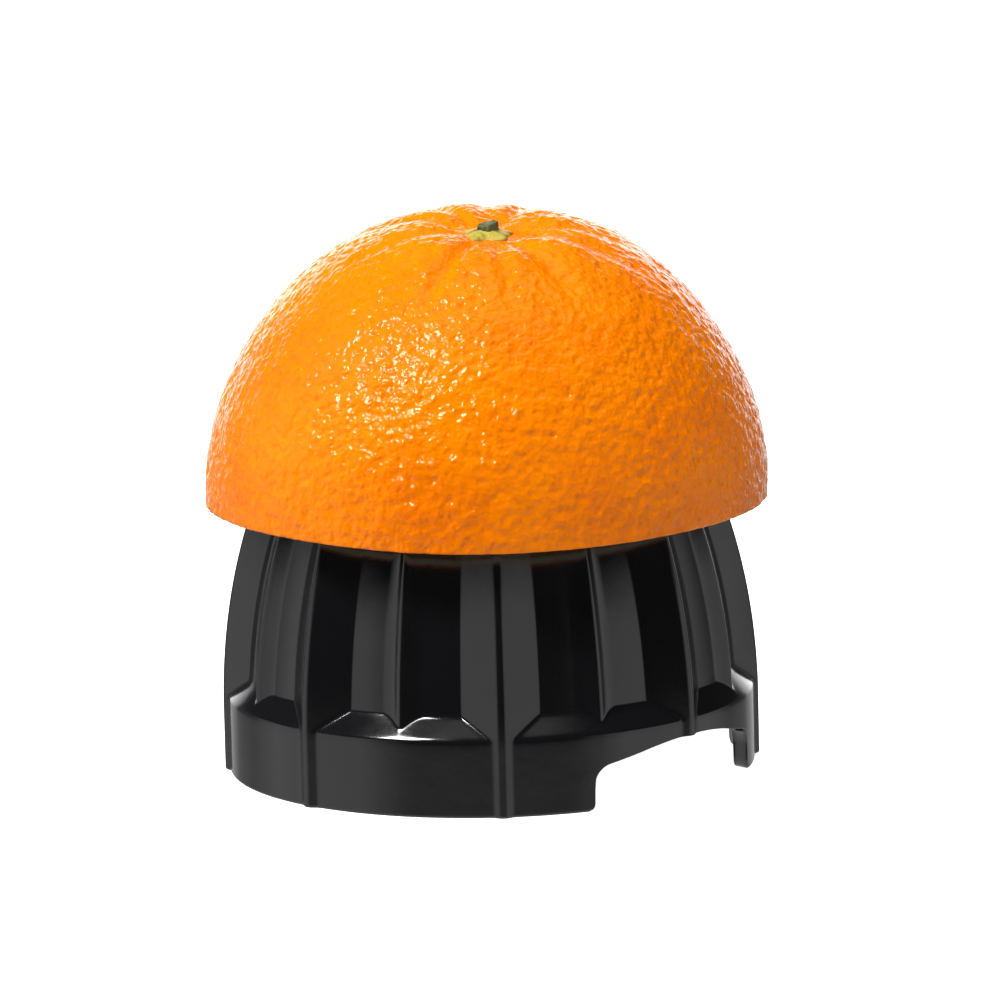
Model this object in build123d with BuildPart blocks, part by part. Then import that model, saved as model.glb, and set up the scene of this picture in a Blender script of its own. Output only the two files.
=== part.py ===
from build123d import *
import os
from math import cos, radians, sin

# Press cone of an electric citrus press, standing on its skirt, with half an orange pressed onto it.
# Millimetres and degrees. The origin is the centre of the skirt's lower rim, +Z is up, and -Y is the front.
os.makedirs("parts", exist_ok=True)

# ------------------------------------------------------------------ ribbed dome of the cone
CREST_RADIUS = 38.0      # over the major ribs at the skirt
UPRIGHT = 9.0            # height up to which the ribs stand upright
DOME_RISE = 58.7         # from there to the apex of the ellipse that the crests follow
NOSE_TURN = 78.0         # the ribs end this far round the ellipse, and a smooth nose closes the tip
NOSE_TOP = 67.9
NOSE_INSET = 0.2         # the nose starts this far inside the last outline's crests
NOSE_SHOULDER = 0.55     # share of its radius at which it is still nearly flat
NOSE_FALL = 0.4          # and its drop from the top there
DOME_STEPS = 7           # outlines in the curved part
RIB_COUNT = 8            # major ribs, with a minor rib midway between each two
RIB_PITCH = 360 / RIB_COUNT
FRONT_RIB = -88.0        # direction of the front major rib, from +X
RIB_DEPTH = 3.25         # valley floor below the major crests
CREST_ROUND = 0.2        # drop of a rounded crest at its edges
MAJOR_TIP = 1.0          # half the angle of a major rib's crest
MAJOR_FOOT = 9.0         # angle from the crest at which its flank meets the valley floor
MAJOR_DISH = 0.12        # hollow of that flank
MINOR_DROP = 1.9         # minor crests below the major ones
MINOR_TIP = 0.8
MINOR_FOOT = 4.8
MINOR_DISH = 0.2
FADE_START = 7.0         # crest radius at which the ribs have died into the nose
FADE_LENGTH = 14.0       # crest radius over which they grow to full depth
WALL = 2.3

# ------------------------------------------------------------------ skirt
SKIRT_RADIUS = 37.25
SKIRT_HEIGHT = 10.8
SHELF_RADIUS = 34.0      # the shelf slopes up and in from the skirt to the valley floors
SHELF_SLOPE = 1.12       # rise over run
HOLLOW_HEIGHT = 9.2      # plain round hollow inside the skirt
RIM_ROUND = 0.35
NOTCH_MIDDLES = (-41.8, 41.8)  # directions of the two notches, from +X
NOTCH_HALF = 16.4
NOTCH_SIDE = 5.9         # height of a notch's upright ends, below their rounded corners
NOTCH_PITCH = 0.216      # slope of its roof
NOTCH_PEAK_ROUND = 41.0
NOTCH_CORNER = 2.8
NOTCH_FOOT = 0.9         # rounding of its ends at the rim
NOTCH_START = 28.0       # the cut runs outwards from this distance to the axis
NOTCH_DEPTH = 12.0

# ------------------------------------------------------------------ drive parts inside the cone
BOSS_RADIUS = 6.5
BOSS_BOTTOM = 43.0
HUB_RADIUS = 8.6
HUB_BOTTOM = 7.0
SOCKET_TOP = 39.0
BUSH_FLATS = 11.0        # across the flats of the hexagonal bush
BUSH_BOTTOM = 7.5
BUSH_TOP = 36.3
BUSH_LEAD = 0.6          # chamfer at the mouth of its bore
BORE_RADIUS = 4.05       # for an 8 mm shaft
SLOT_WIDTH = 3.2         # a cross pin in the shaft sits in a slot under the bush and turns it
SLOT_HEIGHT = 6.0
FIT_GAP = 0.05           # between pieces that are pushed together
FIN_COUNT = 4
FIN_THICKNESS = 2.0
FIN_BOTTOM = 14.0
FIN_TOP = 41.0
FIN_GAP = 0.9            # fin's edge to the bottom of the groove behind a rib
SCREW_RADIUS = 1.75
SCREW_TIP = 55.0
PILOT_TOP = 57.0
SCREW_HOLE = 2.1
HEAD_RADIUS = 3.1
HEAD_HEIGHT = 2.4
RECESS_WIDTH = 0.9
RECESS_LENGTH = 3.6
RECESS_DEPTH = 1.3

# ------------------------------------------------------------------ half orange
ORANGE_RADIUS = 39.9
ORANGE_CENTRE = 39.7     # height of the fruit's centre
CUT_HEIGHT = 37.2        # height of the cut face
ZEST = 1.3
PITH = 2.4
SKIN_GAP = 0.05          # between zest and pith
TURN_GAP = 0.3           # between the flesh and the peel that turns round it
REAM_GAP = 0.5           # between the rib crests and the reamed flesh
REAM_HEADROOM = 0.2      # and this much more above the nose
SEGMENTS = 10
SEGMENT_START = 9.0
MEMBRANE = 0.4
CORE_RADIUS = 4.5
STEM_TILT = 13.9         # the stem end leans this far to the front
STEM_SIDE = 6.6          # and this far round towards +X
SEAT_DEPTH = 0.75        # the calyx sits in a pit of this depth
SEAT_RADIUS = 3.6
CALYX_TIP = 3.3
CALYX_NOTCH = 2.0
CALYX_THICKNESS = 0.8
SEPALS = 6
STUB_RADIUS = 1.35
STUB_HEIGHT = 1.0


def finish(builder, name):
    """Label a finished piece and write its STEP file."""
    builder.part.label = name
    export_step(builder.part, f"parts/{name}.step")


def polar(radius, turn):
    """Point at a radius and a direction from +X."""
    return (radius * cos(radians(turn)), radius * sin(radians(turn)))


def radial_plane(turn, distance=0.0):
    """Plane facing outwards along a direction: its x runs round the cone and its y is up."""
    outward = polar(1, turn)
    origin = (*polar(distance, turn), 0)
    return Plane(origin=origin, x_dir=(-outward[1], outward[0], 0), z_dir=(*outward, 0))


def meridian_plane(turn):
    """Plane through the axis: its x runs outwards along a direction and its y is up."""
    return Plane(origin=(0, 0, 0), x_dir=(*polar(1, turn), 0), z_dir=(*polar(1, turn - 90), 0))


def rib_outline(crest, height, relief):
    """Outline of the ribbed wall at one height. Relief scales the ribs' depth."""
    valley = crest - RIB_DEPTH * relief
    lower = crest - MINOR_DROP * relief
    drop = CREST_ROUND * relief
    major = (crest, crest - drop, MAJOR_TIP, MAJOR_FOOT, MAJOR_DISH * relief)
    minor = (lower, lower - drop, MINOR_TIP, MINOR_FOOT, MINOR_DISH * relief)
    with BuildSketch(Plane.XY.offset(height)) as outline:
        with BuildLine():
            for index in range(2 * RIB_COUNT):
                rib = FRONT_RIB + index * RIB_PITCH / 2
                top, edge, tip, foot, dish = minor if index % 2 else major
                next_foot = MAJOR_FOOT if index % 2 else MINOR_FOOT
                middle = (tip + foot) / 2
                flank = (edge + valley) / 2 - dish
                left_foot, left_tip = polar(valley, rib + foot), polar(edge, rib + tip)
                right_foot, right_tip = polar(valley, rib - foot), polar(edge, rib - tip)
                ThreePointArc(right_foot, polar(flank, rib - middle), right_tip)
                ThreePointArc(right_tip, polar(top, rib), left_tip)
                ThreePointArc(left_tip, polar(flank, rib + middle), left_foot)
                Line(left_foot, polar(valley, rib + RIB_PITCH / 2 - next_foot))
        make_face()
    return outline.sketch


def dome_outlines(offset):
    """Outlines of the dome from the rim to the nose, all moved inwards by an offset."""
    crest = CREST_RADIUS - offset
    rise = DOME_RISE - offset
    outlines = [rib_outline(crest, height, 1) for height in (0, UPRIGHT / 2)]
    for step in range(DOME_STEPS + 1):
        turn = radians(NOSE_TURN * step / DOME_STEPS)
        radius = crest * cos(turn)
        relief = min(1, (radius - FADE_START) / FADE_LENGTH)
        outlines.append(rib_outline(radius, UPRIGHT + rise * sin(turn), relief))
    return outlines


def half_ellipse(radius, rise):
    """Half of an ellipse beside the axis, centred where the dome starts to curve."""
    with BuildSketch(Plane.XZ) as half:
        with Locations((0, UPRIGHT)):
            Ellipse(radius, rise)
        split(bisect_by=Plane.YZ, keep=Keep.TOP)
    return half.sketch


def cut_sphere(outer):
    """Solid of the fruit out to one radius, from the cut face up."""
    with BuildPart() as half:
        with Locations((0, 0, ORANGE_CENTRE)):
            Sphere(outer)
        split(bisect_by=Plane.XY.offset(CUT_HEIGHT), keep=Keep.TOP)
    return half.part


# ------------------------------------------------------------------ press cone
nose_turn = radians(NOSE_TURN)
nose_radius = CREST_RADIUS * cos(nose_turn) - NOSE_INSET
nose_height = UPRIGHT + DOME_RISE * sin(nose_turn)
nose_root = nose_height - 1
shelf_top = SKIRT_HEIGHT + (SKIRT_RADIUS - SHELF_RADIUS) * SHELF_SLOPE
notch_peak = NOTCH_SIDE + NOTCH_HALF * NOTCH_PITCH
notch_mouth = NOTCH_HALF + NOTCH_FOOT

with BuildPart() as press_cone:
    loft(sections=dome_outlines(0))
    with BuildSketch(Plane.XZ) as nose_profile:
        with BuildLine():
            shoulder = (nose_radius * NOSE_SHOULDER, NOSE_TOP - NOSE_FALL)
            ThreePointArc((nose_radius, nose_height), shoulder, (0, NOSE_TOP))
            Polyline((0, NOSE_TOP), (0, nose_root), (nose_radius, nose_root), (nose_radius, nose_height))
        make_face()
    revolve(axis=Axis.Z)
    with BuildSketch(Plane.XZ) as skirt_profile:
        Polygon(
            (SHELF_RADIUS - 1, 0),
            (SKIRT_RADIUS - RIM_ROUND, 0),
            (SKIRT_RADIUS, RIM_ROUND),
            (SKIRT_RADIUS, SKIRT_HEIGHT),
            (SHELF_RADIUS, shelf_top),
            (SHELF_RADIUS - 1, shelf_top),
            align=None,
        )
    revolve(axis=Axis.Z)
    loft(sections=dome_outlines(WALL), mode=Mode.SUBTRACT)
    with BuildSketch():
        Circle(SKIRT_RADIUS - WALL)
    extrude(amount=HOLLOW_HEIGHT, mode=Mode.SUBTRACT)
    for middle in NOTCH_MIDDLES:
        with BuildSketch(radial_plane(middle, NOTCH_START)) as notch:
            with BuildLine():
                Polyline((0, -1), (notch_mouth, -1), (notch_mouth, 0))
                RadiusArc((notch_mouth, 0), (NOTCH_HALF, NOTCH_FOOT), NOTCH_FOOT)
                Polyline((NOTCH_HALF, NOTCH_FOOT), (NOTCH_HALF, NOTCH_SIDE), (0, notch_peak))
                mirror(about=Plane.YZ)
            make_face()
            peak, *corners = notch.vertices().sort_by(Axis.Y)[-1:-4:-1]
            fillet(peak, NOTCH_PEAK_ROUND)
            fillet(corners, NOTCH_CORNER)
        extrude(amount=NOTCH_DEPTH, mode=Mode.SUBTRACT)
    with BuildSketch(Plane.XY.offset(BOSS_BOTTOM)):
        Circle(BOSS_RADIUS)
    extrude(amount=nose_root - BOSS_BOTTOM)
    with BuildSketch(Plane.XY.offset(BOSS_BOTTOM)):
        Circle(SCREW_RADIUS + FIT_GAP)
    extrude(amount=PILOT_TOP - BOSS_BOTTOM, mode=Mode.SUBTRACT)
finish(press_cone, "press_cone")

# ------------------------------------------------------------------ drive hub
# Four fins reach into the grooves behind every second rib, so that the hub turns the cone.
fin_crest = CREST_RADIUS - WALL - FIN_GAP
fin_rise = DOME_RISE - WALL - FIN_GAP

with BuildPart() as drive_hub:
    with BuildSketch(Plane.XY.offset(HUB_BOTTOM)):
        Circle(HUB_RADIUS)
    extrude(amount=BOSS_BOTTOM - FIT_GAP - HUB_BOTTOM)
    for index in range(FIN_COUNT):
        with BuildSketch(meridian_plane(FRONT_RIB + index * 360 / FIN_COUNT)):
            with Locations((0, UPRIGHT)):
                Ellipse(fin_crest, fin_rise)
            with Locations((HUB_RADIUS - 1, FIN_BOTTOM)):
                corner = (Align.MIN, Align.MIN)
                Rectangle(CREST_RADIUS, FIN_TOP - FIN_BOTTOM, align=corner, mode=Mode.INTERSECT)
        extrude(amount=FIN_THICKNESS / 2, both=True)
    with BuildSketch(Plane.XY.offset(HUB_BOTTOM)):
        RegularPolygon(BUSH_FLATS / 2 + FIT_GAP, 6, major_radius=False, rotation=30)
    extrude(amount=SOCKET_TOP - HUB_BOTTOM, mode=Mode.SUBTRACT)
    with BuildSketch(Plane.XY.offset(SOCKET_TOP)):
        Circle(SCREW_HOLE)
    extrude(amount=BOSS_BOTTOM - SOCKET_TOP, mode=Mode.SUBTRACT)
finish(drive_hub, "drive_hub")

# ------------------------------------------------------------------ shaft bush
with BuildPart() as shaft_bush:
    with BuildSketch(Plane.XY.offset(BUSH_BOTTOM)):
        RegularPolygon(BUSH_FLATS / 2, 6, major_radius=False, rotation=30)
        Circle(BORE_RADIUS, mode=Mode.SUBTRACT)
    extrude(amount=BUSH_TOP - BUSH_BOTTOM)
    chamfer(shaft_bush.faces().sort_by(Axis.Z)[0].inner_wires()[0].edges(), BUSH_LEAD)
    with BuildSketch(Plane.XY.offset(BUSH_BOTTOM)):
        Rectangle(2 * BUSH_FLATS, SLOT_WIDTH)
    extrude(amount=SLOT_HEIGHT, mode=Mode.SUBTRACT)
finish(shaft_bush, "shaft_bush")

# ------------------------------------------------------------------ hub screw
with BuildPart() as hub_screw:
    with BuildSketch(Plane.XY.offset(SOCKET_TOP - FIT_GAP)):
        Circle(HEAD_RADIUS)
    extrude(amount=-HEAD_HEIGHT)
    fillet(hub_screw.edges().sort_by(Axis.Z)[0], HEAD_HEIGHT / 3)
    with BuildSketch(Plane.XY.offset(SOCKET_TOP - FIT_GAP)):
        Circle(SCREW_RADIUS)
    extrude(amount=SCREW_TIP - SOCKET_TOP)
    chamfer(hub_screw.edges().sort_by(Axis.Z)[-1], SCREW_RADIUS / 2, SCREW_RADIUS * 0.8)
    with BuildSketch(Plane.XY.offset(SOCKET_TOP - FIT_GAP - HEAD_HEIGHT)):
        Rectangle(RECESS_LENGTH, RECESS_WIDTH)
        Rectangle(RECESS_WIDTH, RECESS_LENGTH)
    extrude(amount=RECESS_DEPTH, mode=Mode.SUBTRACT)
finish(hub_screw, "hub_screw")

# ------------------------------------------------------------------ flesh of the orange
# The hollow is what the turning ribs have reamed out, so it is round.
pith_outer = ORANGE_RADIUS - ZEST - SKIN_GAP
pith_inner = ORANGE_RADIUS - ZEST - PITH
flesh_radius = pith_inner - TURN_GAP
reamed = half_ellipse(CREST_RADIUS + REAM_GAP, DOME_RISE + REAM_GAP + REAM_HEADROOM)
flesh = cut_sphere(flesh_radius)

with BuildPart() as orange_segments:
    add(flesh)
    revolve(reamed, axis=Axis.Z, mode=Mode.SUBTRACT)
    with BuildSketch(Plane.XY.offset(CUT_HEIGHT)):
        with PolarLocations(0, SEGMENTS // 2, start_angle=SEGMENT_START, angular_range=180):
            Rectangle(2 * ORANGE_RADIUS, MEMBRANE + 2 * FIT_GAP)
        Circle(CORE_RADIUS + FIT_GAP)
    extrude(amount=ORANGE_RADIUS, mode=Mode.SUBTRACT)
finish(orange_segments, "orange_segments")

with BuildPart() as orange_membranes:
    add(flesh)
    revolve(reamed, axis=Axis.Z, mode=Mode.SUBTRACT)
    with BuildSketch(Plane.XY.offset(CUT_HEIGHT)):
        with PolarLocations(0, SEGMENTS // 2, start_angle=SEGMENT_START, angular_range=180):
            Rectangle(2 * ORANGE_RADIUS, MEMBRANE)
        Circle(CORE_RADIUS + FIT_GAP, mode=Mode.SUBTRACT)
    extrude(amount=ORANGE_RADIUS, mode=Mode.INTERSECT)
finish(orange_membranes, "orange_membranes")

with BuildPart() as orange_core:
    add(flesh)
    revolve(reamed, axis=Axis.Z, mode=Mode.SUBTRACT)
    with BuildSketch(Plane.XY.offset(CUT_HEIGHT)):
        Circle(CORE_RADIUS)
    extrude(amount=ORANGE_RADIUS, mode=Mode.INTERSECT)
finish(orange_core, "orange_core")

# ------------------------------------------------------------------ peel of the orange
stem_turn = radians(-90 + STEM_SIDE)
stem_tilt = radians(STEM_TILT)
stem_axis = Vector(sin(stem_tilt) * cos(stem_turn), sin(stem_tilt) * sin(stem_turn), cos(stem_tilt))
seat_middle = Vector(0, 0, ORANGE_CENTRE) + stem_axis * (ORANGE_RADIUS - SEAT_DEPTH)
seat = Plane(origin=seat_middle, x_dir=(1, 0, 0), z_dir=stem_axis)

with BuildPart() as orange_pith:
    add(cut_sphere(pith_outer))
    with Locations((0, 0, ORANGE_CENTRE)):
        Sphere(pith_inner, mode=Mode.SUBTRACT)
finish(orange_pith, "orange_pith")

with BuildPart() as orange_zest:
    add(cut_sphere(ORANGE_RADIUS))
    with Locations((0, 0, ORANGE_CENTRE)):
        Sphere(ORANGE_RADIUS - ZEST, mode=Mode.SUBTRACT)
    with BuildSketch(seat):
        Circle(SEAT_RADIUS)
    extrude(amount=2 * SEAT_DEPTH, mode=Mode.SUBTRACT)
finish(orange_zest, "orange_zest")

with BuildPart() as orange_calyx:
    with BuildSketch(seat.offset(FIT_GAP)):
        with BuildLine():
            reaches = [CALYX_TIP, CALYX_NOTCH] * SEPALS
            star = [polar(reach, corner * 180 / SEPALS) for corner, reach in enumerate(reaches)]
            Polyline(*star, close=True)
        make_face()
    extrude(amount=CALYX_THICKNESS)
finish(orange_calyx, "orange_calyx")

with BuildPart() as stem_stub:
    with BuildSketch(seat.offset(2 * FIT_GAP + CALYX_THICKNESS)):
        Ellipse(STUB_RADIUS, STUB_RADIUS * 0.8)
    extrude(amount=STUB_HEIGHT)
    chamfer(stem_stub.edges().filter_by(GeomType.ELLIPSE).sort_by(Axis.Z)[-1], STUB_HEIGHT / 4)
finish(stem_stub, "stem_stub")
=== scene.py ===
import math

import bpy
import numpy as np
from mathutils import Matrix, Vector, kdtree, noise


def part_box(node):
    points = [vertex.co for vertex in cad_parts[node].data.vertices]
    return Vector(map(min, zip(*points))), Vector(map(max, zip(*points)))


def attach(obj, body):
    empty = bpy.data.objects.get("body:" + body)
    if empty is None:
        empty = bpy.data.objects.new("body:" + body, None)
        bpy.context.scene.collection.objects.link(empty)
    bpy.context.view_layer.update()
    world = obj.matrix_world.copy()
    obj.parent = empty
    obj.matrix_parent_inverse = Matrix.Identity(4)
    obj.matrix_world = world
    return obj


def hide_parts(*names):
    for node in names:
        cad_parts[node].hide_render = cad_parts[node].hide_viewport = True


# Looks of a citrus press cone with half an orange on it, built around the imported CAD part.
# Lengths are in metres, so MM turns millimetres into them. Angles are in radians unless a name says degrees.
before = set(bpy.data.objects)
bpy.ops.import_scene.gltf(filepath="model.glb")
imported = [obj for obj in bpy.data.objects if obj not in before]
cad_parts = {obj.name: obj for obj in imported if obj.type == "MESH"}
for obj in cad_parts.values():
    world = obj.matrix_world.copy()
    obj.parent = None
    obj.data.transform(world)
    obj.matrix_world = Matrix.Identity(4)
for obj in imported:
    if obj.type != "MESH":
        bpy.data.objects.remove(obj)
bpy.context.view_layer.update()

MM = 0.001
SEED = 41
zest_low, zest_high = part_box("orange_zest")
pith_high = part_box("orange_pith")[1]
flesh_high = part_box("orange_segments")[1]
core_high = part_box("orange_core")[1]
SKIN_RADIUS = zest_high.x
CENTRE_HEIGHT = zest_high.z - SKIN_RADIUS
CUT_HEIGHT = zest_low.z
PITH_OUTER = pith_high.x
ZEST_INNER = PITH_OUTER + 0.05 * MM      # a hair's gap, so that the two layers don't share a surface
PITH_INNER = PITH_OUTER - 2.35 * MM
FLESH_RADIUS = flesh_high.x
CORE_RADIUS = core_high.x
CENTRE = Vector((0, 0, CENTRE_HEIGHT))
CAVITY_FOOT = 9.0 * MM                   # centre of the ellipsoid that the cone reamed out of the flesh
CAVITY_RADIUS = 38.5 * MM
CAVITY_RISE = 59.4 * MM


# ------------------------------------------------------------------ mesh helpers
def add_mesh(name, vertices, faces, body, replaced):
    """A smooth shaded mesh object that rides on a body and stands for the CAD nodes it replaces."""
    mesh = bpy.data.meshes.new(name)
    mesh.from_pydata(vertices, [], faces)
    mesh.shade_smooth()
    mesh.update()
    piece = bpy.data.objects.new(name, mesh)
    bpy.context.scene.collection.objects.link(piece)
    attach(piece, body)
    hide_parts(*replaced)
    return piece


def shell_faces(rows, columns, first_pole, last_pole):
    """Quads between rows of a closed ring grid, and triangles to the pole vertex at each end."""
    across = np.arange(columns)
    ahead = (across + 1) % columns
    quads = []
    for row in range(rows - 1):
        here = row * columns
        below = here + columns
        quads.append(np.stack([here + across, below + across, below + ahead, here + ahead], axis=1))
    faces = np.concatenate(quads).tolist()
    last = (rows - 1) * columns
    faces += [(first_pole, int(a), int(b)) for a, b in zip(across, ahead)]
    faces += [(last_pole, int(last + b), int(last + a)) for a, b in zip(across, ahead)]
    return faces


def shell(name, rings, first_pole, last_pole, body, replaced):
    """A closed surface through rings of points, from one pole over the outside and back along the inside."""
    rows, columns = rings.shape[:2]
    points = rings.reshape(-1, 3).tolist() + [list(first_pole), list(last_pole)]
    faces = shell_faces(rows, columns, rows * columns, rows * columns + 1)
    return add_mesh(name, points, faces, body, replaced)


def smoothstep(low, high, value):
    share = np.clip((value - low) / (high - low), 0, 1)
    return share * share * (3 - 2 * share)


def bumps(points, size, shift):
    """Smooth noise between -1 and 1 whose lumps are about this size."""
    return np.array([noise.noise(Vector(p) / size + shift) for p in points])


# ------------------------------------------------------------------ material helpers
def new_material(name):
    made = bpy.data.materials.new(name)
    made.use_nodes = True
    return made, made.node_tree, made.node_tree.nodes["Principled BSDF"]


def add_node(tree, kind, settings=None, **inputs):
    """Adds a shader node. Settings are its properties and inputs are its sockets by name."""
    made = tree.nodes.new("ShaderNode" + kind)
    for key, value in (settings or {}).items():
        setattr(made, key, value)
    for key, value in inputs.items():
        socket = made.inputs[key.replace("_", " ")]
        if isinstance(value, bpy.types.NodeSocket):
            tree.links.new(value, socket)
        else:
            socket.default_value = value
    return made


def object_coordinates(tree):
    return add_node(tree, "TexCoord").outputs["Object"]


def stretched(tree, scale):
    """Object coordinates that run faster or slower along Z."""
    return add_node(tree, "Mapping", Vector=object_coordinates(tree), Scale=(1, 1, scale)).outputs["Vector"]


def noise_texture(tree, size, detail=3.0, where=None):
    """Noise whose lumps have this size."""
    place = where or object_coordinates(tree)
    made = add_node(tree, "TexNoise", Vector=place, Scale=1 / size, Detail=detail)
    return made.outputs["Fac"]


def ramp(tree, source, *stops):
    """Colours by position along a source value. Each stop is a position and a colour."""
    made = add_node(tree, "ValToRGB", Fac=source)
    elements = made.color_ramp.elements
    while len(elements) < len(stops):
        elements.new(0.5)
    for element, (position, colour) in zip(elements, stops):
        element.position = position
        element.color = (*colour, 1)
    return made.outputs["Color"]


def spread(tree, source, low, high, to_low, to_high):
    """A value moved from one range to another."""
    ends = {"From_Min": low, "From_Max": high, "To_Min": to_low, "To_Max": to_high}
    return add_node(tree, "MapRange", Value=source, **ends).outputs["Result"]


def bump(tree, height, depth, under=None):
    made = add_node(tree, "Bump", Height=height, Distance=depth)
    if under:
        tree.links.new(under, made.inputs["Normal"])
    return made.outputs["Normal"]


def paint(piece, material):
    piece.data.materials.clear()
    piece.data.materials.append(material)


# ------------------------------------------------------------------ materials
def gloss_black_plastic():
    """Glossy moulded plastic with faint ripples and handling marks."""
    made, tree, shader = new_material("gloss_black_plastic")
    shader.inputs["Base Color"].default_value = (0.006, 0.006, 0.007, 1)
    shader.inputs["IOR"].default_value = 1.5
    shader.inputs["Specular IOR Level"].default_value = 1.0
    marks = noise_texture(tree, 6 * MM, detail=6)
    tree.links.new(spread(tree, marks, 0.35, 0.7, 0.09, 0.17), shader.inputs["Roughness"])
    ripples = bump(tree, noise_texture(tree, 7 * MM), 0.05 * MM)
    grain = bump(tree, noise_texture(tree, 0.6 * MM), 0.0015 * MM, under=ripples)
    tree.links.new(grain, shader.inputs["Normal"])
    return made


def satin_black_plastic():
    """Black plastic with the fine erosion texture of a part that is not seen."""
    made, tree, shader = new_material("satin_black_plastic")
    tone = noise_texture(tree, 5 * MM, detail=5)
    colour = ramp(tree, tone, (0.3, (0.012, 0.012, 0.013)), (0.8, (0.03, 0.03, 0.032)))
    tree.links.new(colour, shader.inputs["Base Color"])
    tree.links.new(spread(tree, tone, 0.3, 0.7, 0.35, 0.55), shader.inputs["Roughness"])
    tree.links.new(bump(tree, noise_texture(tree, 0.35 * MM), 0.02 * MM), shader.inputs["Normal"])
    return made


def natural_plastic():
    """Off-white acetal of the shaft bush."""
    made, tree, shader = new_material("natural_plastic")
    tone = noise_texture(tree, 3 * MM, detail=5)
    colour = ramp(tree, tone, (0.3, (0.70, 0.67, 0.58)), (0.8, (0.82, 0.80, 0.74)))
    tree.links.new(colour, shader.inputs["Base Color"])
    shader.inputs["Roughness"].default_value = 0.38
    shader.inputs["Subsurface Weight"].default_value = 0.15
    shader.inputs["Subsurface Radius"].default_value = (2 * MM, 2 * MM, 2 * MM)
    tree.links.new(bump(tree, noise_texture(tree, 0.5 * MM), 0.01 * MM), shader.inputs["Normal"])
    return made


def brushed_steel():
    """Zinc-bright steel, turned around the screw's axis."""
    made, tree, shader = new_material("brushed_steel")
    shader.inputs["Metallic"].default_value = 1.0
    shader.inputs["Base Color"].default_value = (0.62, 0.61, 0.6, 1)
    lines = noise_texture(tree, 2 * MM, detail=6, where=stretched(tree, 30))
    tree.links.new(spread(tree, lines, 0.3, 0.7, 0.22, 0.42), shader.inputs["Roughness"])
    tree.links.new(bump(tree, lines, 0.01 * MM), shader.inputs["Normal"])
    return made


def orange_skin():
    """Waxed zest: oil glands show as darker points under a glossy skin."""
    made, tree, shader = new_material("orange_skin")
    patches = noise_texture(tree, 14 * MM, detail=2)
    base = ramp(tree, patches, (0.3, (0.92, 0.190, 0.0)), (0.7, (1.0, 0.240, 0.0)))
    glands = add_node(tree, "TexVoronoi", Vector=object_coordinates(tree), Scale=1 / (1.5 * MM))
    dots = spread(tree, glands.outputs["Distance"], 0.05, 0.32, 0.82, 1.0)
    mottle = spread(tree, noise_texture(tree, 1.6 * MM, detail=4), 0.3, 0.7, 0.92, 1.06)
    tone = add_node(tree, "Math", {"operation": "MULTIPLY"})
    tree.links.new(dots, tone.inputs[0])
    tree.links.new(mottle, tone.inputs[1])
    toned = add_node(tree, "VectorMath", {"operation": "SCALE"}, Scale=tone.outputs[0])
    tree.links.new(base, toned.inputs[0])
    tree.links.new(toned.outputs[0], shader.inputs["Base Color"])
    shader.inputs["Subsurface Weight"].default_value = 0.12
    shader.inputs["Subsurface Radius"].default_value = (2.5 * MM, 1.0 * MM, 0.3 * MM)
    shader.inputs["IOR"].default_value = 1.5
    shader.inputs["Specular IOR Level"].default_value = 0.34
    shader.inputs["Specular Tint"].default_value = (1.0, 0.90, 0.70, 1)
    tree.links.new(spread(tree, mottle, 0.92, 1.06, 0.19, 0.12), shader.inputs["Roughness"])
    pits = bump(tree, noise_texture(tree, 1.0 * MM, detail=1), 0.36 * MM)
    grain = bump(tree, noise_texture(tree, 0.25 * MM), 0.008 * MM, under=pits)
    tree.links.new(grain, shader.inputs["Normal"])
    return made


def orange_pith_white():
    """Spongy white of the peel."""
    made, tree, shader = new_material("orange_pith_white")
    tone = noise_texture(tree, 2.5 * MM, detail=6)
    colour = ramp(tree, tone, (0.3, (0.86, 0.70, 0.42)), (0.75, (0.95, 0.88, 0.70)))
    tree.links.new(colour, shader.inputs["Base Color"])
    shader.inputs["Roughness"].default_value = 0.7
    shader.inputs["Subsurface Weight"].default_value = 0.3
    shader.inputs["Subsurface Radius"].default_value = (3 * MM, 2 * MM, 1 * MM)
    tree.links.new(bump(tree, noise_texture(tree, 0.5 * MM, detail=6), 0.15 * MM), shader.inputs["Normal"])
    return made


def juice_flesh():
    """Wet juice cells, long and packed side by side."""
    made, tree, shader = new_material("juice_flesh")
    cells = add_node(tree, "TexVoronoi", Vector=stretched(tree, 0.35), Scale=1 / (1.6 * MM))
    tone = spread(tree, cells.outputs["Distance"], 0.0, 0.7, 1.0, 0.0)
    colour = ramp(tree, tone, (0.1, (0.93, 0.38, 0.04)), (0.7, (0.95, 0.27, 0.012)))
    tree.links.new(colour, shader.inputs["Base Color"])
    shader.inputs["Subsurface Weight"].default_value = 0.5
    shader.inputs["Subsurface Radius"].default_value = (4 * MM, 1.6 * MM, 0.4 * MM)
    shader.inputs["Coat Weight"].default_value = 0.4
    shader.inputs["Coat Roughness"].default_value = 0.08
    wetness = noise_texture(tree, 1 * MM)
    tree.links.new(spread(tree, wetness, 0.3, 0.7, 0.18, 0.36), shader.inputs["Roughness"])
    tree.links.new(bump(tree, tone, 0.35 * MM), shader.inputs["Normal"])
    return made


def segment_wall():
    """Thin pale skin between the segments and around the core."""
    made, tree, shader = new_material("segment_wall")
    fibres = noise_texture(tree, 1.2 * MM, detail=6)
    colour = ramp(tree, fibres, (0.3, (0.95, 0.52, 0.14)), (0.75, (0.97, 0.76, 0.40)))
    tree.links.new(colour, shader.inputs["Base Color"])
    shader.inputs["Roughness"].default_value = 0.45
    shader.inputs["Subsurface Weight"].default_value = 0.35
    shader.inputs["Subsurface Radius"].default_value = (3 * MM, 1.5 * MM, 0.6 * MM)
    tree.links.new(bump(tree, fibres, 0.1 * MM), shader.inputs["Normal"])
    return made


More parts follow.
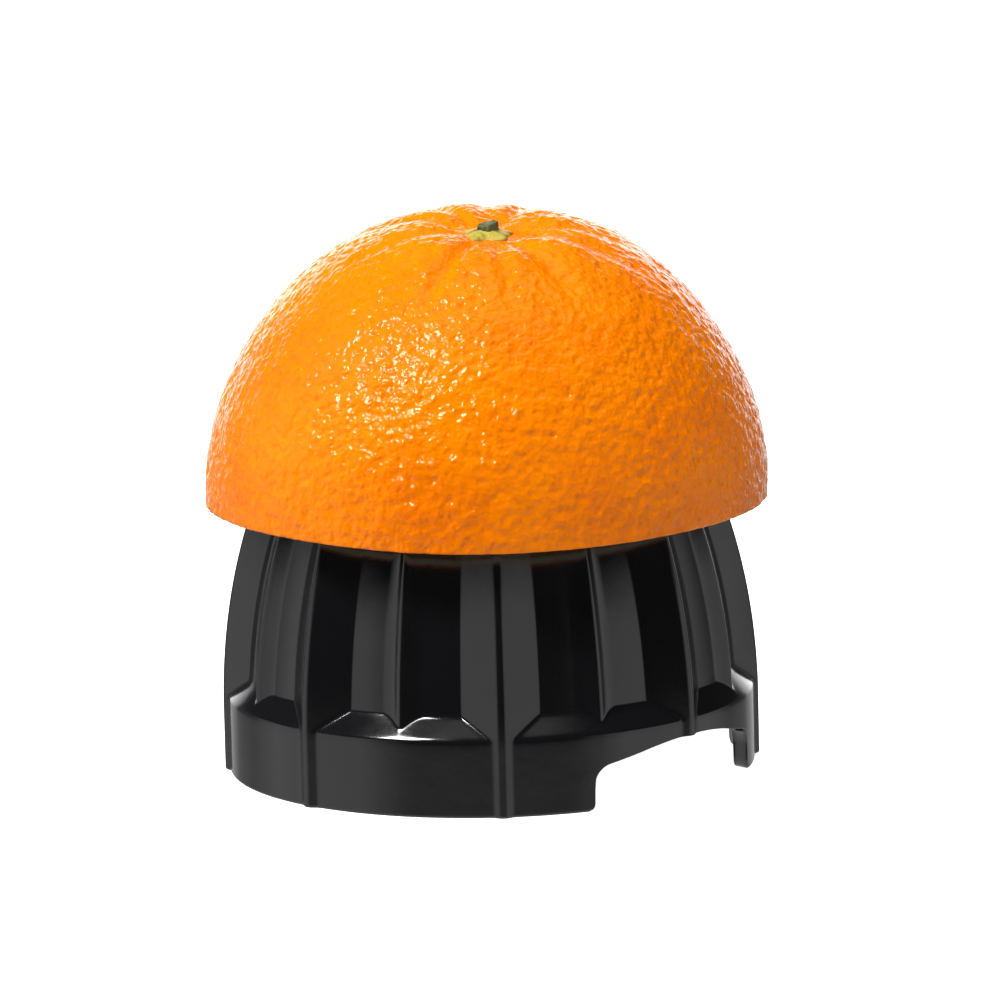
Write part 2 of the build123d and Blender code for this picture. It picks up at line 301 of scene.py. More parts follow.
def calyx_skin():
    """Yellow-green with brown blotches."""
    made, tree, shader = new_material("calyx_skin")
    tone = noise_texture(tree, 1.4 * MM, detail=5)
    brown, olive, pale = (0.17, 0.09, 0.02), (0.44, 0.35, 0.04), (0.62, 0.53, 0.12)
    colour = ramp(tree, tone, (0.35, brown), (0.5, olive), (0.7, pale))
    tree.links.new(colour, shader.inputs["Base Color"])
    shader.inputs["Roughness"].default_value = 0.45
    tree.links.new(bump(tree, noise_texture(tree, 0.4 * MM, detail=5), 0.08 * MM), shader.inputs["Normal"])
    return made


def stem_bark():
    """Dark green bark with a dry broken end."""
    made, tree, shader = new_material("stem_bark")
    tone = noise_texture(tree, 0.8 * MM, detail=6)
    dark, green, dry = (0.03, 0.035, 0.012), (0.10, 0.12, 0.04), (0.22, 0.22, 0.12)
    colour = ramp(tree, tone, (0.3, dark), (0.55, green), (0.8, dry))
    tree.links.new(colour, shader.inputs["Base Color"])
    shader.inputs["Roughness"].default_value = 0.55
    tree.links.new(bump(tree, tone, 0.12 * MM), shader.inputs["Normal"])
    return made


# ------------------------------------------------------------------ shape of the fruit
STEM_TILT = math.radians(13.9)
STEM_TURN = math.radians(-90 + 6.6)
STEM_LEAN = math.sin(STEM_TILT)
STEM_AXIS = Vector((STEM_LEAN * math.cos(STEM_TURN), STEM_LEAN * math.sin(STEM_TURN), math.cos(STEM_TILT)))
STEM_RIGHT = Vector((0, 1, 0)).cross(STEM_AXIS).normalized()
STEM_BACK = STEM_AXIS.cross(STEM_RIGHT)
SKIN_COLUMNS = 900
SKIN_ROWS = 250
LAYER_ROWS = 60
PITH_COLUMNS = 360
SKIN_LUMPS = (                           # height and size in millimetres, and where in the noise they lie
    (0.28, 17, (3, 1, 4)),
    (0.13, 5, (1, 5, 9)),
    (0.12, 2.2, (2, 6, 5)),
    (0.07, 1.1, (3, 5, 8)),
)
PORE_PITCH = 1.6 * MM
PORE_RADIUS = 0.55 * MM
PORE_DEPTH = 0.16 * MM
PIT_DEPTH = 1.6 * MM
PIT_WIDTH = 5.5 * MM
SHOULDER_HEIGHT = 0.45 * MM
SHOULDER_DISTANCE = 11 * MM
SHOULDER_WIDTH = 4.5 * MM
FOLD_COUNT = 10
FOLD_SWAY = 0.22                         # how far a fold strays from its even place


def cut_height(turn):
    """Height of the cut face. The knife did not cut quite flat, so it is lowest at the front."""
    from_front = turn + math.pi / 2
    right = np.sin(from_front) > 0
    side = np.where(right, 0.70, 0.95) * np.sin(from_front) ** 2
    corner = np.where(right, 0.20, 0.43) * np.sin(2 * from_front) ** 2
    return CUT_HEIGHT + (side + corner) * MM


def pore_points(rng):
    """Directions of the oil pores, spread evenly over the sphere and then nudged."""
    count = int(4 * math.pi * SKIN_RADIUS**2 / PORE_PITCH**2)
    index = np.arange(count) + 0.5
    height = 1 - 2 * index / count
    turn = index * math.pi * (3 - math.sqrt(5))
    flat = np.sqrt(1 - height**2)
    points = np.stack([flat * np.cos(turn), flat * np.sin(turn), height], axis=1)
    points += rng.normal(0, 0.33 * PORE_PITCH / SKIN_RADIUS, points.shape)
    return points / np.linalg.norm(points, axis=1)[:, None]


def pore_relief(directions, rng):
    """Depth of the dimples that the oil pores make, at each direction."""
    pores = pore_points(rng)
    depths = rng.uniform(0.4, 1.3, len(pores)) * PORE_DEPTH
    widths = rng.uniform(0.75, 1.25, len(pores)) * PORE_RADIUS
    tree = kdtree.KDTree(len(pores))
    for index, pore in enumerate(pores):
        tree.insert(pore * SKIN_RADIUS, index)
    tree.balance()
    relief = np.zeros(len(directions))
    for row, direction in enumerate(directions * SKIN_RADIUS):
        for _, index, distance in tree.find_n(direction, 2):
            relief[row] -= depths[index] * math.exp(-((distance / widths[index]) ** 2))
    return relief


def stem_distance(directions):
    return np.arccos(np.clip(directions @ np.array(STEM_AXIS), -1, 1)) * SKIN_RADIUS


def stem_pit(distance):
    """The dimple round the stem end."""
    return -PIT_DEPTH * np.exp(-((distance / PIT_WIDTH) ** 2))


def under_stem(directions):
    """How far the layers under the skin give way to the dimple and its folds."""
    distance = stem_distance(directions)
    return stem_pit(distance) - 0.35 * MM * (1 - smoothstep(8 * MM, 24 * MM, distance))


def stem_relief(directions, rng):
    """The dimple round the stem end, and the folds that radiate from it."""
    across = directions @ np.array(STEM_RIGHT)
    back = directions @ np.array(STEM_BACK)
    distance = stem_distance(directions)
    turn = np.arctan2(back, across)
    shoulder = SHOULDER_HEIGHT * np.exp(-(((distance - SHOULDER_DISTANCE) / SHOULDER_WIDTH) ** 2))
    reach = smoothstep(2 * MM, 6 * MM, distance) * (1 - smoothstep(12 * MM, 25 * MM, distance))
    folds = np.zeros(len(directions))
    for index in range(FOLD_COUNT):
        sway = rng.uniform(-FOLD_SWAY, FOLD_SWAY) if index else 0
        place = math.pi / 2 + 2 * math.pi * index / FOLD_COUNT + sway
        depth = rng.uniform(0.45, 0.9) * MM
        width = rng.uniform(1.1, 2.0) * MM
        sideways = np.angle(np.exp(1j * (turn - place))) * distance
        folds -= depth * np.exp(-((sideways / width) ** 2))
    return stem_pit(distance) + shoulder + folds * reach


def skin_offset(directions, rng):
    """How far the skin stands out from a true sphere, at each direction. It is boxiest near the stem end."""
    latitude = np.degrees(np.arcsin(np.clip(directions[:, 2], -1, 1)))
    body = (-0.26 + 0.55 * np.exp(-(((latitude - 60) / 16) ** 2)) + 0.16 * directions[:, 0]) * MM
    places = directions * SKIN_RADIUS
    lumps = sum(height * MM * bumps(places, size * MM, Vector(shift)) for height, size, shift in SKIN_LUMPS)
    return body + lumps + pore_relief(directions, rng) + stem_relief(directions, rng)


def dome_directions(radius, rows, turns):
    """Unit directions, row by row, from the pole down to where a sphere of this radius meets the cut face."""
    lowest = np.arccos((cut_height(turns) - CENTRE_HEIGHT) / radius)
    share = (np.arange(rows) + 0.5) / (rows - 0.5)
    tilt = share[:, None] * lowest[None, :]
    wide = np.sin(tilt)
    return np.stack([wide * np.cos(turns), wide * np.sin(turns), np.cos(tilt)], axis=2)


def ring_turns(columns):
    return np.arange(columns) * 2 * math.pi / columns


def cut_rings(outer, inner, turns, steps, roughness):
    """Rings across the cut face, from an outer to an inner radius, a little rough."""
    rings = []
    for step in range(1, steps):
        radius = outer + (inner - outer) * step / steps
        x, y = radius * np.cos(turns), radius * np.sin(turns)
        flat = np.stack([x, y, cut_height(turns)], axis=1)
        flat[:, 2] += roughness * bumps(flat, 0.9 * MM, Vector((step, 0, 0)))
        rings.append(flat)
    return rings


def make_zest():
    rng = np.random.default_rng(SEED)
    turns = ring_turns(SKIN_COLUMNS)
    outside = dome_directions(SKIN_RADIUS, SKIN_ROWS, turns)
    offset = skin_offset(outside.reshape(-1, 3), rng).reshape(outside.shape[:2])
    radii = SKIN_RADIUS + offset
    outer = outside * radii[:, :, None] + np.array(CENTRE)
    lift = cut_height(turns) - outer[-1, :, 2]
    fade = smoothstep(SKIN_ROWS * 0.9, SKIN_ROWS - 1, np.arange(SKIN_ROWS))
    outer[:, :, 2] += fade[:, None] * lift[None, :]
    rim_radius = np.linalg.norm(outer[-1, :, :2], axis=1)
    face_inner = np.sqrt(ZEST_INNER**2 - (cut_height(turns) - CENTRE_HEIGHT) ** 2)
    rings = list(outer) + cut_rings(rim_radius, face_inner, turns, 5, 0.03 * MM)
    inside = dome_directions(ZEST_INNER, LAYER_ROWS, turns)[::-1]
    inside = inside * (ZEST_INNER + under_stem(inside))[:, :, None] + np.array(CENTRE)
    rings += list(inside)
    top, under = outer[0].mean(axis=0), inside[-1].mean(axis=0)
    return shell("orange_zest_skin", np.array(rings), top, under, "peel", ["orange_zest"])


def make_pith():
    turns = ring_turns(PITH_COLUMNS)
    outer = dome_directions(PITH_OUTER, LAYER_ROWS, turns)
    outer = outer * (PITH_OUTER + under_stem(outer))[:, :, None] + np.array(CENTRE)
    inner = dome_directions(PITH_INNER, LAYER_ROWS, turns)[::-1]
    rough = 0.12 * MM * bumps(inner.reshape(-1, 3) * PITH_INNER, 1.6 * MM, Vector((7, 7, 7)))
    rough = np.abs(rough).reshape(inner.shape[:2])
    inner = inner * (PITH_INNER + rough)[:, :, None] + np.array(CENTRE)
    face = np.sqrt(PITH_OUTER**2 - (cut_height(turns) - CENTRE_HEIGHT) ** 2)
    face_inner = np.linalg.norm(inner[0, :, :2], axis=1)
    rings = list(outer) + cut_rings(face, face_inner, turns, 8, 0.12 * MM) + list(inner)
    top, under = outer[0].mean(axis=0), inner[-1].mean(axis=0)
    return shell("orange_pith_layer", np.array(rings), top, under, "peel", ["orange_pith"])


# ------------------------------------------------------------------ flesh
SEGMENTS = 10
SEGMENT_START = math.radians(9)
WALL_HALF = 0.2 * MM
WALL_GAP = 0.05 * MM
PROFILE_STEPS = 46


def flesh_profile(turn, inner_radius):
    """Outer and inner points (radius, height) of the flesh at one direction, from the cut face up."""
    low = float(cut_height(np.array(turn)))
    outer_top = math.asin(inner_radius / FLESH_RADIUS)
    outer_low = math.acos((low - CENTRE_HEIGHT) / FLESH_RADIUS)
    inner_top = math.asin(inner_radius / CAVITY_RADIUS)
    inner_low = math.acos((low - CAVITY_FOOT) / CAVITY_RISE)
    share = np.linspace(0, 1, PROFILE_STEPS)
    outer = outer_low + (outer_top - outer_low) * share
    inner = inner_low + (inner_top - inner_low) * share
    outside = [FLESH_RADIUS * np.sin(outer), CENTRE_HEIGHT + FLESH_RADIUS * np.cos(outer)]
    inside = [CAVITY_RADIUS * np.sin(inner), CAVITY_FOOT + CAVITY_RISE * np.cos(inner)]
    return np.stack(outside, axis=1), np.stack(inside, axis=1)


def flesh_sector(start, start_gap, stop, stop_gap, columns, relief):
    """Points and faces of the closed piece of flesh between two directions, held off them by a gap."""
    points = []
    for column in range(columns + 1):
        share = column / columns
        outside, inside = flesh_profile(start + (stop - start) * share, CORE_RADIUS + WALL_GAP)
        loop = np.concatenate([outside, inside[::-1]])
        gap = start_gap + (stop_gap - start_gap) * share
        turn = start + (stop - start) * share + np.arcsin(gap / loop[:, 0])
        place = np.stack([loop[:, 0] * np.cos(turn), loop[:, 0] * np.sin(turn), loop[:, 1]], axis=1)
        edge = min(share, 1 - share) * 4
        inward = np.zeros_like(place)
        inward[:PROFILE_STEPS] = -place[:PROFILE_STEPS] + np.array(CENTRE)
        inward[PROFILE_STEPS:] = place[PROFILE_STEPS:] * (1, 1, 0)
        inward /= np.linalg.norm(inward, axis=1)[:, None]
        cells = 0.5 - 0.5 * bumps(place * (1, 1, 0.45), 1.6 * MM, Vector((0, 3, 0)))
        rounded = 1 - min(1, edge) ** 0.5
        place += inward * (relief * (cells + rounded))[:, None]
        points.append(place)
    points = np.array(points)
    length = 2 * PROFILE_STEPS
    faces = []
    for column in range(columns):
        here, there = column * length, (column + 1) * length
        for step in range(length):
            ahead = (step + 1) % length
            faces.append((here + step, there + step, there + ahead, here + ahead))
    last = columns * length
    for step in range(PROFILE_STEPS - 1):
        across = length - 1 - step
        faces.append((step, step + 1, across - 1, across))
        faces.append((last + step, last + across, last + across - 1, last + step + 1))
    return points.reshape(-1, 3), faces


def make_flesh():
    """Ten segments in one piece, and the ten walls between them in another."""
    pitch = 2 * math.pi / SEGMENTS
    gap = WALL_HALF + WALL_GAP
    kinds = {
        "orange_segment_flesh": (pitch, gap, -gap, 26, 0.28 * MM, "orange_flesh", "orange_segments"),
        "orange_segment_walls": (0, -WALL_HALF, WALL_HALF, 2, 0.0, "orange_membrane", "orange_membranes"),
    }
    made = []
    for name, (width, first, second, columns, relief, slot, node) in kinds.items():
        points, faces = [], []
        for index in range(SEGMENTS):
            start = SEGMENT_START + index * pitch
            places, quads = flesh_sector(start, first, start + width, second, columns, relief)
            faces += [tuple(corner + len(points) for corner in quad) for quad in quads]
            points += places.tolist()
        made.append(add_mesh(name, points, faces, "flesh", [node]))
    return made


# ------------------------------------------------------------------ stem end
STEM_FOOT = CENTRE + STEM_AXIS * (SKIN_RADIUS - 1.8 * MM)
CALYX_UP = (STEM_AXIS + Vector((0, 0, 1))).normalized()     # it lies more level than the skin under it
CALYX_BACK = CALYX_UP.cross(STEM_RIGHT)
CALYX_TIP = 3.7 * MM
CALYX_NOTCH = 2.7 * MM
CALYX_DOME = 0.75 * MM
CALYX_WAVE = 0.14 * MM
CALYX_EDGE = 0.22 * MM
CALYX_UNDER = -0.15 * MM
SEPALS = 5
STUB_TOP_RADIUS = 1.35 * MM
STUB_TOP_SQUEEZE = 0.85                  # the stub is narrower from front to back
STUB_RADIUS = 1.38 * MM
STUB_SQUEEZE = 1.18 / 1.38
STUB_TOP = 1.75 * MM
STUB_CENTRE = 1.72 * MM
STUB_FOOT = 0.5 * MM
STUB_SLANT = 0.22


def stem_point(up):
    """Point on the stem's axis, from its height over the foot."""
    return STEM_FOOT + CALYX_UP * up


def stem_ring(turns, reach, up, squeeze=1.0):
    """A ring round the stem's axis, from its radius and its height over the foot."""
    right, back = reach * np.cos(turns), squeeze * reach * np.sin(turns)
    places = np.stack([right, back, np.broadcast_to(up, right.shape)], axis=1)
    return np.array(STEM_FOOT) + places @ np.array([STEM_RIGHT, CALYX_BACK, CALYX_UP])


def make_calyx():
    """A shallow dome with blunt lobes whose edges lie on the skin."""
    turns = ring_turns(90)
    rng = np.random.default_rng(SEED + 1)
    uneven = 1 + 0.12 * np.array([noise.noise(Vector((math.cos(t), math.sin(t), 2)) * 1.3) for t in turns])
    lobe = (0.5 + 0.5 * np.cos(SEPALS * turns + rng.uniform(0, 6))) ** 0.6
    reach = (CALYX_NOTCH + (CALYX_TIP - CALYX_NOTCH) * lobe) * uneven
    rings = []
    for share in np.linspace(0.08, 1, 14):
        up = CALYX_DOME * (1 - share**2) + CALYX_WAVE * np.cos(3 * turns + 2) * share + CALYX_EDGE
        rings.append(stem_ring(turns, reach * share, up))
    for share in np.linspace(1, 0.1, 7):
        rings.append(stem_ring(turns, reach * share, CALYX_UNDER))
    top, under = stem_point(CALYX_DOME + CALYX_EDGE), stem_point(CALYX_UNDER)
    return shell("calyx_star", np.array(rings), top, under, "peel", ["orange_calyx"])


def make_stub():
    """The broken end of the stalk, cut on a slant, wider at its foot."""
    turns = ring_turns(72)
    grooves = 1 + 0.07 * np.cos(9 * turns) + 0.05 * np.cos(5 * turns + 1)
    rings = []
    for share in (0.25, 0.6, 0.9, 1.0):
        radius = STUB_TOP_RADIUS * share * grooves
        chips = 0.05 * MM * np.cos(7 * turns) * share
        rounded = 0.12 * MM if share == 1.0 else 0
        up = STUB_TOP + STUB_SLANT * radius * np.cos(turns) + chips - rounded
        rings.append(stem_ring(turns, radius, up, STUB_TOP_SQUEEZE))
    for level in np.linspace(1.3, 0.5, 7):
        flare = 1 + 0.2 * (1.3 - level) ** 2
        rings.append(stem_ring(turns, STUB_RADIUS * flare * grooves, level * MM, STUB_SQUEEZE))
    top, under = stem_point(STUB_CENTRE), stem_point(STUB_FOOT)
    return shell("stalk_stub", np.array(rings), top, under, "peel", ["stem_stub"])


# ------------------------------------------------------------------ press cone
# The same ribbed dome, skirt and notches as the CAD node, with every edge rounded as moulding leaves it.
CREST_RADIUS = 38.0 * MM
UPRIGHT = 9.0 * MM
DOME_RISE = 58.7 * MM
NOSE_TURN = math.radians(78)
NOSE_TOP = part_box("press_cone")[1].z
NOSE_RADIUS = 7.7 * MM
NOSE_FALL = 1.48 * MM
RIBS = 8
FRONT_RIB = math.radians(-88)
RIB_DEPTH = 3.25 * MM
MINOR_DROP = 1.9 * MM
CREST_DROP = 0.2 * MM
MAJOR_TIP, MAJOR_FOOT = 1.0, 9.0     # degrees either side of a rib
MINOR_TIP, MINOR_FOOT = 0.8, 4.8
HALF_PITCH = 180 / RIBS
MAJOR_DISH = 0.12 * MM
MINOR_DISH = 0.2 * MM
RIB_EDGE = 0.22                      # degrees over which the ribs' edges are rounded
WALL = 2.3 * MM
SKIRT_RADIUS = 37.25 * MM
SKIRT_HEIGHT = 10.8 * MM
SHELF_SLOPE = 1.12
HOLLOW_HEIGHT = 9.2 * MM
APRON_TOP = 10.2 * MM                # below this the grid follows the rim and the notches
SHELF_END = 15.2 * MM
EDGE_ROUND = 0.3 * MM
BLEND = 0.22 * MM                    # rounding where skirt, shelf and ribs meet
BOSS_RADIUS = 6.5 * MM
BOSS_BOTTOM = 43.0 * MM
PILOT_RADIUS = 1.8 * MM
PILOT_TOP = 57.0 * MM
NOTCH_MIDDLE = math.radians(41.8)
NOTCH_REACH = math.radians(36)       # half of the stretch whose columns bend round a notch
NOTCH_HALF = 16.4 * MM
NOTCH_SIDE = 5.9 * MM
NOTCH_PITCH = math.atan(0.216)
NOTCH_PEAK_ROUND = 41.0 * MM
NOTCH_CORNER = 2.8 * MM
NOTCH_FOOT = 0.9 * MM
CONE_COLUMNS = 840


def smooth_max(first, second, blend):
    return (first + second + np.sqrt((first - second) ** 2 + blend**2)) / 2


def smooth_min(first, second, blend):
    return (first + second - np.sqrt((first - second) ** 2 + blend**2)) / 2


def rib_drops():
    """Depth below the crests at 0.05 degree steps round the cone, from the front rib, with rounded edges."""
    turns = np.arange(0, 360, 0.05)
    off = np.abs((turns + HALF_PITCH) % (2 * HALF_PITCH) - HALF_PITCH)
    beside = HALF_PITCH - off
    major = np.clip((off - MAJOR_TIP) / (MAJOR_FOOT - MAJOR_TIP), 0, 1)
    minor = np.clip((beside - MINOR_TIP) / (MINOR_FOOT - MINOR_TIP), 0, 1)
    high = CREST_DROP + (RIB_DEPTH - CREST_DROP) * major + 4 * MAJOR_DISH * major * (1 - major)
    low_top = MINOR_DROP + CREST_DROP
    low = low_top + (RIB_DEPTH - low_top) * minor + 4 * MINOR_DISH * minor * (1 - minor)
    high -= CREST_DROP * (1 - np.clip(off / MAJOR_TIP, 0, 1) ** 2)
    low -= CREST_DROP * (1 - np.clip(beside / MINOR_TIP, 0, 1) ** 2)
    drops = np.minimum(high, low)
    waves = np.fft.rfftfreq(len(turns), 0.05)
    kept = np.exp(-2 * (math.pi * RIB_EDGE * waves) ** 2)
    return turns, np.fft.irfft(np.fft.rfft(drops) * kept, len(turns))


RIB_TURNS, RIB_DROPS = rib_drops()


def dome_radius(turn, height, inset):
    """Radius of the ribbed dome, moved inwards by an inset."""
    share = np.clip((height - UPRIGHT) / (DOME_RISE - inset), 0, 1)
    crest = (CREST_RADIUS - inset) * np.sqrt(1 - share**2)
    relief = np.clip((crest - 7 * MM) / (14 * MM), 0, 1)
    from_rib = np.degrees(turn - FRONT_RIB) % 360
    return crest - relief * np.interp(from_rib, RIB_TURNS, RIB_DROPS, period=360)


def outer_radius(turn, height):
    shelf = SKIRT_RADIUS - (height - SKIRT_HEIGHT) / SHELF_SLOPE
    skirt = smooth_min(np.full_like(shelf, SKIRT_RADIUS), shelf, BLEND)
    return smooth_max(dome_radius(turn, height, 0), skirt, BLEND)


def inner_radius(turn, height):
    hollow = np.where(height < HOLLOW_HEIGHT, SKIRT_RADIUS - WALL, 0)
    return np.maximum(dome_radius(turn, height, WALL), hollow)


def column_turns():
    """Directions of the columns, closest where the ribs bend most."""
    bend = np.abs(np.gradient(np.gradient(RIB_DROPS)))
    weight = 0.4 + 2.2 * (bend / bend.max()) ** 0.5
    total = np.concatenate([[0], np.cumsum(weight)])
    steps = np.interp(np.arange(CONE_COLUMNS) * total[-1] / CONE_COLUMNS, total, np.append(RIB_TURNS, 360))
    return (np.radians(steps) + FRONT_RIB + math.pi) % (2 * math.pi) - math.pi


def arc_points(centre, radius, start, stop, count=24):
    turns = np.radians(np.linspace(start, stop, count))
    return [(centre[0] + radius * math.cos(t), centre[1] + radius * math.sin(t)) for t in turns]


def notch_outline():
    """Rim and notch seen from outside, as (distance sideways, height), over the reach of one notch."""
    tilt = math.degrees(NOTCH_PITCH)
    cut_back = NOTCH_CORNER * math.tan((math.pi / 2 - NOTCH_PITCH) / 2)
    peak = NOTCH_SIDE + NOTCH_HALF * math.tan(NOTCH_PITCH) - NOTCH_PEAK_ROUND / math.cos(NOTCH_PITCH)
    left = [(-SKIRT_RADIUS * math.sin(NOTCH_REACH), 0)]
    left += arc_points((-NOTCH_HALF - NOTCH_FOOT, NOTCH_FOOT), NOTCH_FOOT, -90, 0)
    left += arc_points((-NOTCH_HALF + NOTCH_CORNER, NOTCH_SIDE - cut_back), NOTCH_CORNER, 180, 90 + tilt)
    left += arc_points((0, peak), NOTCH_PEAK_ROUND, 90 + tilt, 90)
    right = [(-side, height) for side, height in left[-2::-1]]
    return np.array(left + right)


def rim_places(turns, radius):
    """Where each column ends on the rim: its direction there, for a wall of this radius, and its height."""
    ends, heights = turns.copy(), np.zeros(len(turns))
    outline = notch_outline()
    length = np.concatenate([[0], np.cumsum(np.linalg.norm(np.diff(outline, axis=0), axis=1))])
    mouth = NOTCH_HALF + NOTCH_FOOT
    for middle in (-NOTCH_MIDDLE, NOTCH_MIDDLE):
        off = turns - middle
        inside = np.abs(off) < NOTCH_REACH
        along = (off[inside] + NOTCH_REACH) / (2 * NOTCH_REACH) * length[-1]
        side = np.interp(along, length, outline[:, 0])
        heights[inside] = np.interp(along, length, outline[:, 1])
        reach = SKIRT_RADIUS * math.sin(NOTCH_REACH)
        beyond = np.interp(np.abs(side), [mouth, reach], [math.asin(mouth / radius), NOTCH_REACH])
        swing = np.arcsin(np.clip(side / radius, -1, 1))
        ends[inside] = middle + np.where(np.abs(side) > mouth, np.sign(side) * beyond, swing)
    return ends, heights


def ring_of(turns, radii, heights):
    return np.stack([radii * np.cos(turns), radii * np.sin(turns), heights * np.ones_like(turns)], axis=1)


def apron_rings(turns, radius, radius_at, shares, top):
    """Rings between the level top of the apron and the rim, rounded where they reach the rim."""
    ends, lows = rim_places(turns, radius)
    rings = []
    for share in shares:
        turn = turns + (ends - turns) * share
        height = top + (lows - top) * share
        rings.append((turn, radius_at(turn, height), height))
    return rings


def make_cone():
    turns = column_turns()
    rings = []
    for share in np.linspace(0.1, 1, 10):
        rings.append(ring_of(turns, NOSE_RADIUS * share, NOSE_TOP - NOSE_FALL * share**2.15))
    turn_end = math.asin((SHELF_END - UPRIGHT) / DOME_RISE)
    for tilt in np.linspace(NOSE_TURN, turn_end, 56):
        height = np.full(CONE_COLUMNS, UPRIGHT + DOME_RISE * math.sin(tilt))
        rings.append(ring_of(turns, outer_radius(turns, height), height))
    for level in np.linspace(SHELF_END, APRON_TOP, 36)[1:]:
        height = np.full(CONE_COLUMNS, level)
        rings.append(ring_of(turns, outer_radius(turns, height), height))

    rounding = np.radians(np.linspace(0, 90, 6))
    short = EDGE_ROUND * (1 - np.sin(rounding)) / APRON_TOP
    inset = EDGE_ROUND * (1 - np.cos(rounding))
    shares = np.concatenate([np.linspace(0, 1 - 1.5 * short[0], 26)[1:], 1 - short])
    insets = np.concatenate([np.zeros(25), inset])
    outside = apron_rings(turns, SKIRT_RADIUS, outer_radius, shares, APRON_TOP)
    rings += [ring_of(turn, radii - back, height) for (turn, radii, height), back in zip(outside, insets)]

    level = HOLLOW_HEIGHT - 0.02 * MM
    inside = apron_rings(turns, SKIRT_RADIUS - WALL, inner_radius, shares, level)
    inner = [ring_of(turn, radii + back, height) for (turn, radii, height), back in zip(inside, insets)]
    rim_out, rim_in = rings[-1], inner[-1]
    rings += [rim_out + (rim_in - rim_out) * share for share in (0.25, 0.5, 0.75)]
    rings += inner[::-1]
    rings.append(ring_of(turns, inner_radius(turns, np.full(CONE_COLUMNS, level)), level))
    first_tilt = math.asin((HOLLOW_HEIGHT + 0.02 * MM - UPRIGHT) / (DOME_RISE - WALL))
    for tilt in np.linspace(first_tilt, NOSE_TURN, 40):
        height = np.full(CONE_COLUMNS, UPRIGHT + (DOME_RISE - WALL) * math.sin(tilt))
        rings.append(ring_of(turns, inner_radius(turns, height), height))
    boss_top = UPRIGHT + (DOME_RISE - WALL) * math.sin(NOSE_TURN)
    rings.append(ring_of(turns, BOSS_RADIUS + 0.3 * MM, boss_top))
    for height in np.linspace(boss_top - 0.3 * MM, BOSS_BOTTOM + 0.2 * MM, 8):
        rings.append(ring_of(turns, BOSS_RADIUS, height))
    rings.append(ring_of(turns, BOSS_RADIUS - 0.2 * MM, BOSS_BOTTOM))
    rings.append(ring_of(turns, PILOT_RADIUS + 0.1 * MM, BOSS_BOTTOM))
    for height in np.linspace(BOSS_BOTTOM + 0.1 * MM, PILOT_TOP, 6):
        rings.append(ring_of(turns, PILOT_RADIUS, height))
    top, pilot = (0, 0, NOSE_TOP), (0, 0, PILOT_TOP)
    return shell("press_cone_shell", np.array(rings), top, pilot, "cone", ["press_cone"])


# ------------------------------------------------------------------ build and paint
paint(make_zest(), orange_skin())
paint(make_pith(), orange_pith_white())
segments, walls = make_flesh()
paint(segments, juice_flesh())
paint(walls, segment_wall())
paint(make_calyx(), calyx_skin())
paint(make_stub(), stem_bark())
paint(make_cone(), gloss_black_plastic())
paint(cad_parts["drive_hub"], satin_black_plastic())
paint(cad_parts["shaft_bush"], natural_plastic())
paint(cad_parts["hub_screw"], brushed_steel())
paint(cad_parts["orange_core"], segment_wall())


# ------------------------------------------------------------------ floor, light and camera
def make_floor():
    bpy.ops.mesh.primitive_plane_add(size=12)
    floor = bpy.context.object
    floor.name = "floor"
    made, tree, shader = new_material("pale_floor")
    shader.inputs["Base Color"].default_value = (0.9, 0.9, 0.9, 1)
    shader.inputs["Roughness"].default_value = 0.9
    shader.inputs["Specular IOR Level"].default_value = 0.0
    shader.inputs["Emission Color"].default_value = (1, 1, 1, 1)
    shader.inputs["Emission Strength"].default_value = 1.0
    paint(floor, made)
    floor.visible_glossy = False
    floor.visible_diffuse = False


def add_panel(name, direction, distance, width, height, power, mirrored):
    """A soft rectangular light that faces the fruit. Only a mirrored one shows as a highlight on it."""
    data = bpy.data.lights.new(name, "AREA")
    data.shape = "RECTANGLE"
    data.size = width
    data.size_y = height
    data.energy = power
    panel = bpy.data.objects.new(name, data)
    bpy.context.scene.collection.objects.link(panel)
    panel.location = CENTRE + Vector(direction).normalized() * distance
    panel.rotation_euler = (CENTRE - panel.location).to_track_quat("-Z", "Y").to_euler()
    panel.visible_glossy = mirrored


def blend_values(tree, share, low, high):
    """A value that goes from one input to another as the share goes from 0 to 1."""
    made = add_node(tree, "Mix", Factor=share)
    for socket, value in zip((made.inputs["A"], made.inputs["B"]), (low, high)):
        if isinstance(value, bpy.types.NodeSocket):
            tree.links.new(value, socket)
        else:
            socket.default_value = value
    return made.outputs["Result"]


def rise(tree, source, low, high):
    """Goes from 0 to 1 as the source goes from low to high."""
    return spread(tree, source, low, high, 0.0, 1.0)


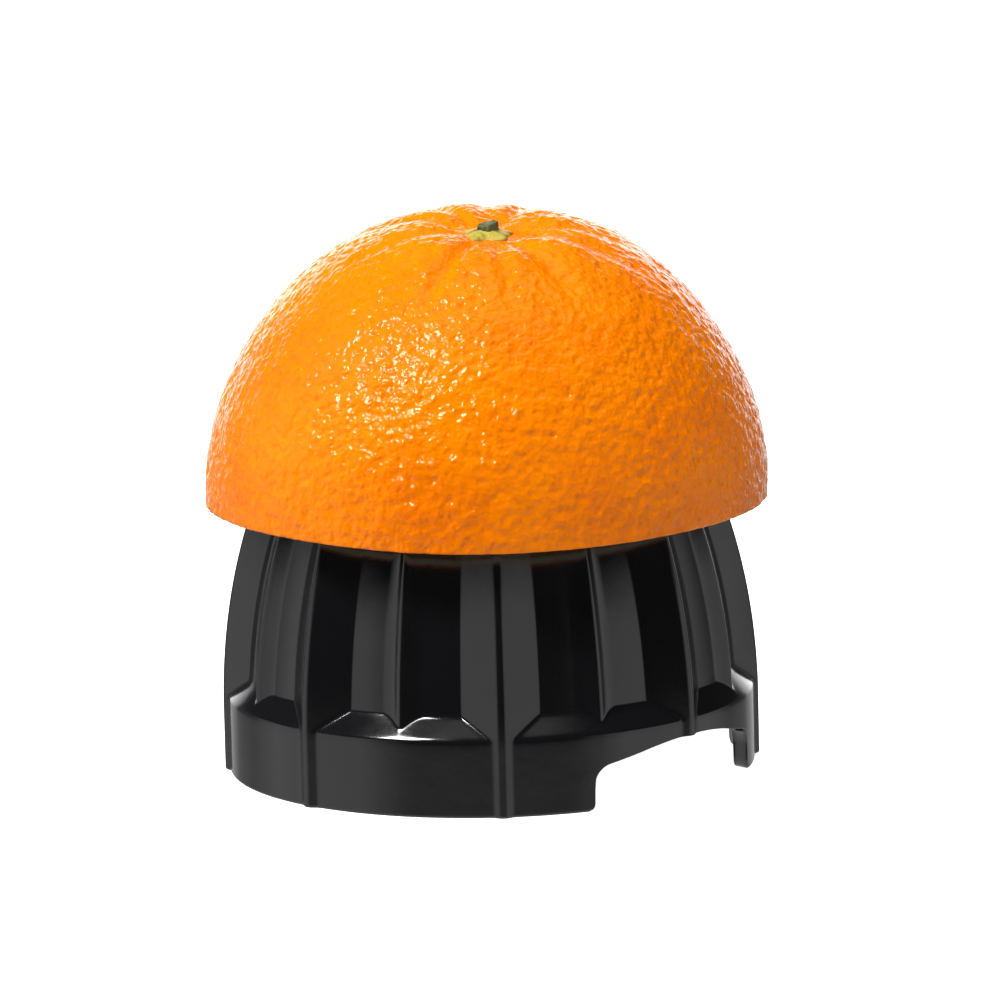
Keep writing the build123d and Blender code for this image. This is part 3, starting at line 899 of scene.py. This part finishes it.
def make_world():
    """Soft surroundings whose brightness depends on the direction.

    It is dark in front, grey overhead and at the sides near the table, bright on the wall right behind, and
    pale below. The camera itself sees only white.
    """
    world = bpy.data.worlds.new("studio")
    world.use_nodes = True
    tree = world.node_tree
    towards = add_node(tree, "SeparateXYZ", Vector=add_node(tree, "TexCoord").outputs["Generated"])
    back, up = towards.outputs["Y"], towards.outputs["Z"]
    wall = spread(tree, up, -0.25, 0.0, 0.15, 2.8)
    lit_wall = blend_values(tree, rise(tree, up, 0.35, 0.6), wall, 0.04)
    beside = spread(tree, back, -0.80, -0.50, 0.02, 0.5)
    dim_corner = blend_values(tree, rise(tree, back, 0.3, 0.6), beside, 0.1)
    lit_sides = blend_values(tree, rise(tree, up, 0.12, 0.3), dim_corner, 0.02)
    around = blend_values(tree, rise(tree, back, 0.82, 0.96), lit_sides, lit_wall)
    ceiling = blend_values(tree, rise(tree, up, 0.88, 0.96), around, 0.55)
    shown = blend_values(tree, rise(tree, up, -0.12, -0.5), ceiling, 0.7)
    seen = add_node(tree, "LightPath").outputs["Is Camera Ray"]
    tree.links.new(blend_values(tree, seen, shown, 1.0), tree.nodes["Background"].inputs["Strength"])
    tree.nodes["Background"].inputs["Color"].default_value = (1, 1, 1, 1)
    bpy.context.scene.world = world


def make_camera():
    """At the photographer's place: a long lens a metre away, a little above the object, slightly rolled."""
    distance = 1.0
    elevation = math.radians(12.3)
    roll = math.radians(1.36)
    aim = Vector((1.9 * MM, 0, 37.6 * MM))
    data = bpy.data.cameras.new("camera")
    data.sensor_width = 36
    data.lens = 252.94
    camera = bpy.data.objects.new("camera", data)
    bpy.context.scene.collection.objects.link(camera)
    camera.location = (0, -distance * math.cos(elevation), distance * math.sin(elevation))
    level = (aim - camera.location).to_track_quat("-Z", "Y")
    camera.rotation_mode = "QUATERNION"
    camera.rotation_quaternion = level @ Matrix.Rotation(-roll, 3, "Z").to_quaternion()
    bpy.context.scene.camera = camera
    bpy.context.scene.view_settings.view_transform = "Standard"


make_floor()
make_world()
add_panel("key", (-0.50, -0.43, 0.75), 1.2, 0.30, 0.36, 12, True)
add_panel("left_fill", (-0.85, 0.15, 0.50), 1.4, 1.0, 1.0, 16, False)
add_panel("top_fill", (0.30, 0.0, 0.95), 1.4, 1.0, 1.0, 10, False)
add_panel("front_fill", (0.45, -0.85, 0.10), 1.4, 1.0, 1.0, 6.5, False)
make_camera()
